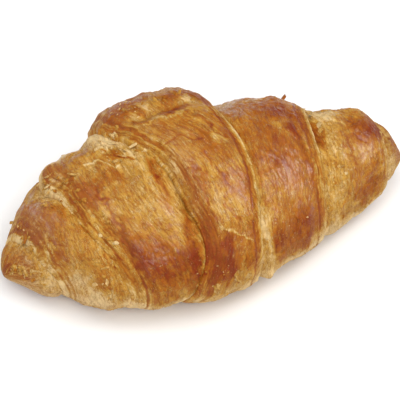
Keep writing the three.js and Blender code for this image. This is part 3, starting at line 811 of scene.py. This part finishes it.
# The horns are the corners of the dough triangle: the start of the roll, seen at its two ends.
# They bake the hardest, because they are thin and stand free.
LEFT_HORN_LOOK = dict(
    browning=0.36, toast=0.35, glaze=0.5, flaky=0.5, stretch=2, paleness=0.1, band_toast=0, seam=0,
    lumps=(),
    browned=(
        (-71, 92, 3.5, 18, 0.14), (-75.5, 110, 1.2, 40, 0.5), (-70, 150, 3, 10, -0.2),
        (-66, 142, 2, 16, 0.14), (-66, 184, 2, 5, 0.15), (-70, 166, 2.5, 6, -0.12),
        (-68, 180, 7, 16, -0.18), (-66, 95, 2, 12, 0.12), (-70, 35, 3, 12, 0.1),
        (-67, 205, 8, 8, 0.05)),
    lines=(
        (0.9, 0.45, (-73.5, 69), (-75, 111), (-74, 121), (-72, 160)),
        (0.5, -0.4, (-69.5, 110), (-70, 120)), (0.6, -0.3, (-73.5, 124), (-70, 130))),
    toasted=((-71, 105, 3.5, 25, 0.4), (-73, 150, 4, 30, 0.3), (-66, 165, 4, 25, -0.3)),
    glossy=((-68, 165, 6, 20, -0.4),),
    torn=((-71, 130, 4, 25, 0.5),))
RIGHT_HORN_LOOK = dict(
    browning=0.5, toast=0.05, glaze=0.4, flaky=0.4, stretch=2, paleness=0.2, band_toast=0, seam=0,
    lumps=(),
    browned=((69, 160, 2.5, 30, -0.2), (73, 95, 2.5, 25, 0.25), (67, 120, 1.5, 20, 0.15)),
    lines=(),
    toasted=((73, 100, 2.5, 25, 0.3),),
    glossy=(),
    torn=())
add_stretch("left_horn", LEFT_3, None, -1, 1, (60, 320), LEFT_HORN_LOOK, 301)
add_stretch("right_horn", RIGHT_3, None, 1, 1, (60, 320), RIGHT_HORN_LOOK, 351)


# Loose flakes and crumbs are bits of the outermost, driest layers of the crust. A flake still
# hangs on by one side, and crumbs lie where they fell.
FLAKE_ROWS = 7
FLAKE_COLUMNS = 5
FLAKE_CURL = 0.25
ROOT_DEPTH = 0.15
SEEK_HEIGHT = 15.0
STEP_ALONG = 0.4
STEP_ROUND = 0.02
# Each group: how many, x, angle, spread along and round, heading (0 towards +x, 90 round to the
# front), length, width, thickness, lift in degrees and browning.
FLAKE_GROUPS = (
    (16, -13, 52, 12, 6, 250, 2.0, 1.8, 0.12, 1, 0.45),  # torn skin of the hump
    (8, 3, 54, 5, 6, 290, 2.0, 1.6, 0.12, 1, 0.4),
    (22, -29, 66, 6, 8, 230, 2.0, 1.5, 0.12, 4, 0.15),  # pale dough torn beside it
    (16, -26, 78, 5, 4, 170, 1.8, 1.2, 0.12, 6, 0.35),
    (12, -53, 62, 2.5, 12, 180, 2.2, 1.7, 0.12, 5, 0.3),  # cut edges
    (12, -46, 88, 5, 14, 190, 2.0, 1.4, 0.12, 3, 0.6),
    (10, -40, 125, 2, 14, 190, 2.0, 1.3, 0.12, 3, 0.4),
    (12, -66, 80, 2, 20, 180, 2.0, 1.5, 0.12, 5, 0.4),
    (24, -71, 125, 3.5, 22, 170, 1.8, 1.6, 0.14, 10, 0.45),  # left horn
    (14, -45, 150, 3, 22, 160, 1.9, 1.4, 0.12, 4, 0.25),
    (18, -8, 178, 7, 8, 80, 1.8, 1.3, 0.12, 3, 0.4),  # low on the tongue
    (8, 42, 62, 1.5, 5, 20, 2.0, 1.5, 0.12, 3, 0.3),  # behind the right-hand edge
    (12, 44, 110, 3, 30, 10, 1.8, 1.3, 0.12, 3, 0.3),
    (12, 69, 115, 3, 20, 0, 1.8, 1.4, 0.12, 4, 0.5),  # right horn
    (1, 36.5, 44, 0, 0, 320, 3.6, 2.0, 0.8, 50, 0.8),  # single flakes that stand out
    (1, -66, 24, 0, 0, 250, 1.8, 1.6, 0.3, 35, 0.4),
    (1, -30, 30, 0, 0, 220, 2.4, 2.6, 0.5, 5, 0.5))
CRUMB_GROUPS = (
    (22, -20, 44, 6, 12, 0, 0.8, 0.6, 0.5, 0, 0.15), (12, -72, 120, 3, 24, 0, 0.7, 0.6, 0.5, 0, 0.15),
    (12, -28, 74, 5, 8, 0, 0.7, 0.5, 0.4, 0, 0.2), (8, -52, 62, 3, 14, 0, 0.6, 0.5, 0.4, 0, 0.2),
    (10, -8, 170, 8, 16, 0, 0.6, 0.5, 0.4, 0, 0.2), (8, 20, 155, 14, 20, 0, 0.5, 0.4, 0.35, 0, 0.1))


def skin_frames(x, angle, crusts):
    """Where lines from outside, square to the plain roll, meet the crust, with its outward normal."""
    middle = place(x, angle, 0, 0)
    ahead = place(x + STEP_ALONG, angle, 0, 0) - middle
    around = place(x, angle + STEP_ROUND, 0, 0) - middle
    out = np.cross(around, ahead)
    out = out / np.linalg.norm(out, axis=-1, keepdims=True)
    found = []
    for spot, way in zip((middle + SEEK_HEIGHT * out) * MM, -out):
        hits = [crust.ray_cast(Vector(spot), Vector(way)) for crust in crusts]
        nearest = min((hit for hit in hits if hit[0] is not None), key=lambda hit: hit[3])
        found.append([*(nearest[0] / MM), *nearest[1]])
    found = np.array(found)
    normal = found[:, 3:]
    ahead = ahead - (ahead * normal).sum(-1, keepdims=True) * normal
    ahead = ahead / np.linalg.norm(ahead, axis=-1, keepdims=True)
    return found[:, :3], normal, ahead, np.cross(ahead, normal)


def flake_points(groups, crusts, seed):
    """Upper and lower grids of flakes: strips that curl up from their root, tapered and torn."""
    drawn = np.random.default_rng(seed)
    groups = np.array(groups, dtype=float)
    rows = np.repeat(groups[:, 1:], groups[:, 0].astype(int), axis=0)
    x, angle, along, round_, heading, length, width, thickness, lift, browning = rows.T
    several = np.repeat(groups[:, 0] > 1, groups[:, 0].astype(int))
    scatter = drawn.normal(0, 0.6, (6, len(rows))) * several
    x = np.clip(x + along * scatter[0], -HALF_LENGTH + 2, HALF_LENGTH - 2)
    angle = np.radians(angle + round_ * scatter[1])
    root, normal, ahead, around = skin_frames(x, angle, crusts)
    heading = np.radians(heading + 45 * scatter[2])[:, None]
    way = np.cos(heading) * ahead + np.sin(heading) * around
    side = np.cross(normal, way)
    length = length * np.exp(0.5 * scatter[3])
    width = width * np.exp(0.5 * scatter[4])
    start = np.radians(lift)[:, None, None]
    share = np.linspace(0, 1, FLAKE_ROWS)[None, :, None]
    across = np.linspace(-1, 1, FLAKE_COLUMNS)[None, None, :]
    number = np.arange(len(rows))[:, None, None]
    torn_length = 1 + 0.35 * lattice_noise(2 * across, 7.3 * number, 0, seed) * share
    torn_width = (1 - 0.3 * share**2) * (1 + 0.4 * lattice_noise(3 * share, 5.1 * number, 1, seed))
    bend = start + FLAKE_CURL * share
    reach = length[:, None, None] * torn_length * (np.sin(bend) - np.sin(start)) / FLAKE_CURL
    rise = length[:, None, None] * torn_length * (np.cos(start) - np.cos(bend)) / FLAKE_CURL
    rise = rise - 0.12 * width[:, None, None] * across**2 - ROOT_DEPTH * (1 - share)
    sideways = width[:, None, None] / 2 * torn_width * across
    half = thickness[:, None, None] / 2 * np.sqrt((1 - across**2) * (1 - (2 * share - 1) ** 2) + 0.03)

    def sheet(side_of):
        up = rise + side_of * half * np.cos(bend)
        forward = reach - side_of * half * np.sin(bend)
        return (root[:, None, None] + forward[..., None] * way[:, None, None]
                + sideways[..., None] * side[:, None, None] + up[..., None] * normal[:, None, None])

    return np.stack([sheet(1), sheet(-1)], 1), browning + 0.25 * scatter[5]


def sheets_mesh(name, points, browning):
    """Joins closed sheets, each an upper and a lower grid of points in mm with walls between."""
    count, _, rows, columns, _ = points.shape
    size = rows * columns
    i, j = np.meshgrid(np.arange(rows - 1), np.arange(columns - 1), indexing="ij")
    corner = (i * columns + j).ravel()
    top = np.stack([corner, corner + columns, corner + columns + 1, corner + 1], -1)
    grid = np.arange(size).reshape(rows, columns)
    border = np.concatenate([grid[:-1, 0], grid[-1, :-1], grid[:0:-1, -1], grid[0, :0:-1]])
    after = np.roll(border, -1)
    walls = np.stack([border, border + size, after + size, after], -1)
    faces = np.concatenate([top, top[:, ::-1] + size, walls])
    offsets = 2 * size * np.arange(count)[:, None, None]
    mesh = bpy.data.meshes.new(name)
    mesh.from_pydata(points.reshape(-1, 3) * MM, [], (faces + offsets).reshape(-1, 4).tolist())
    flow = mesh.attributes.new("flow", "FLOAT_VECTOR", "POINT")
    flow.data.foreach_set("vector", points.astype(np.float32).ravel())
    each = {"browning": browning, "toast": 0.1 + 0 * browning, "glaze": 0.2 + 0 * browning}
    for mask, values in each.items():
        layer = mesh.attributes.new(mask, "FLOAT", "POINT")
        layer.data.foreach_set("value", np.repeat(values, 2 * size).astype(np.float32))
    mesh.shade_smooth()
    mesh.update()
    return mesh


bpy.context.view_layer.update()
evaluated = bpy.context.evaluated_depsgraph_get()
crusts = [BVHTree.FromObject(piece, evaluated) for piece in crust_pieces]
for name, groups, seed in (
        ("loose_flakes", FLAKE_GROUPS, 401), ("loose_crumbs", CRUMB_GROUPS, 451)):
    loose_mesh = sheets_mesh(name, *flake_points(groups, crusts, seed))
    add_piece(name, loose_mesh, crust_material(name.replace("_", " ").capitalize()))


# The stage is a plain pale floor at the level of the croissant's underside, with soft white light
# from large lamps and from all round, and a camera where the photograph was taken from.
FLOOR_SIZE = 6.0
bpy.ops.mesh.primitive_plane_add(size=FLOOR_SIZE)
floor = bpy.context.object
floor.name = "floor"
floor_material = bpy.data.materials.new("Pale floor")
floor_material.use_nodes = True
floor_shader = floor_material.node_tree.nodes["Principled BSDF"]
floor_look = {"Base Color": (0.93, 0.93, 0.93, 1), "Roughness": 0.9, "Specular IOR Level": 0.1}
set_inputs(floor_shader, floor_look)
floor.data.materials.append(floor_material)

world = bpy.data.worlds.new("Soft studio")
world.use_nodes = True
background = world.node_tree.nodes["Background"]
set_inputs(background, {"Color": (1.0, 0.99, 0.98, 1), "Strength": 0.32})
bpy.context.scene.world = world
bpy.context.scene.view_settings.view_transform = "Standard"


def seen_from(azimuth, elevation, distance, target):
    """A place at a distance from a target; azimuth 0 is in front and elevation is above the floor."""
    turn = math.radians(azimuth)
    rise = math.radians(elevation)
    way = Vector((math.sin(turn) * math.cos(rise), -math.cos(turn) * math.cos(rise), math.sin(rise)))
    return target + distance * way


def add_lamp(name, azimuth, elevation, distance, size, power):
    """A square softbox that faces the middle of the croissant."""
    lamp = bpy.data.lights.new(name, "AREA")
    lamp.size = size
    lamp.energy = power
    holder = bpy.data.objects.new(name, lamp)
    middle = Vector((0, 0, 0.02))
    holder.location = seen_from(azimuth, elevation, distance, middle)
    holder.rotation_euler = (holder.location - middle).to_track_quat("Z", "Y").to_euler()
    bpy.context.scene.collection.objects.link(holder)


# Each lamp: azimuth and elevation in degrees, distance and size in metres, and power in watts.
LAMPS = {
    "overhead softbox": (0, 86, 0.8, 0.7, 3.1), "front softbox": (5, 45, 0.7, 0.3, 1.4),
    "left softbox": (-60, 42, 0.8, 0.35, 1.5), "right softbox": (75, 52, 0.8, 0.42, 2.4),
    "back softbox": (-130, 46, 0.9, 0.5, 1.0)}
for lamp_name, lamp_sizes in LAMPS.items():
    add_lamp(lamp_name, *lamp_sizes)

CAMERA_AZIMUTH = -20.4
CAMERA_ELEVATION = 50.0
CAMERA_DISTANCE = 0.62
CAMERA_TARGET = Vector((-3.4, -4.1, 20)) * MM
FOCAL_PIXELS = 1759
IMAGE_WIDTH = 400
camera_data = bpy.data.cameras.new("camera")
camera_data.sensor_width = 36
camera_data.lens = FOCAL_PIXELS / IMAGE_WIDTH * camera_data.sensor_width
camera_data.clip_start = 0.01
camera = bpy.data.objects.new("camera", camera_data)
camera.location = seen_from(CAMERA_AZIMUTH, CAMERA_ELEVATION, CAMERA_DISTANCE, CAMERA_TARGET)
camera.rotation_euler = (camera.location - CAMERA_TARGET).to_track_quat("Z", "Y").to_euler()
bpy.context.scene.collection.objects.link(camera)
bpy.context.scene.camera = camera
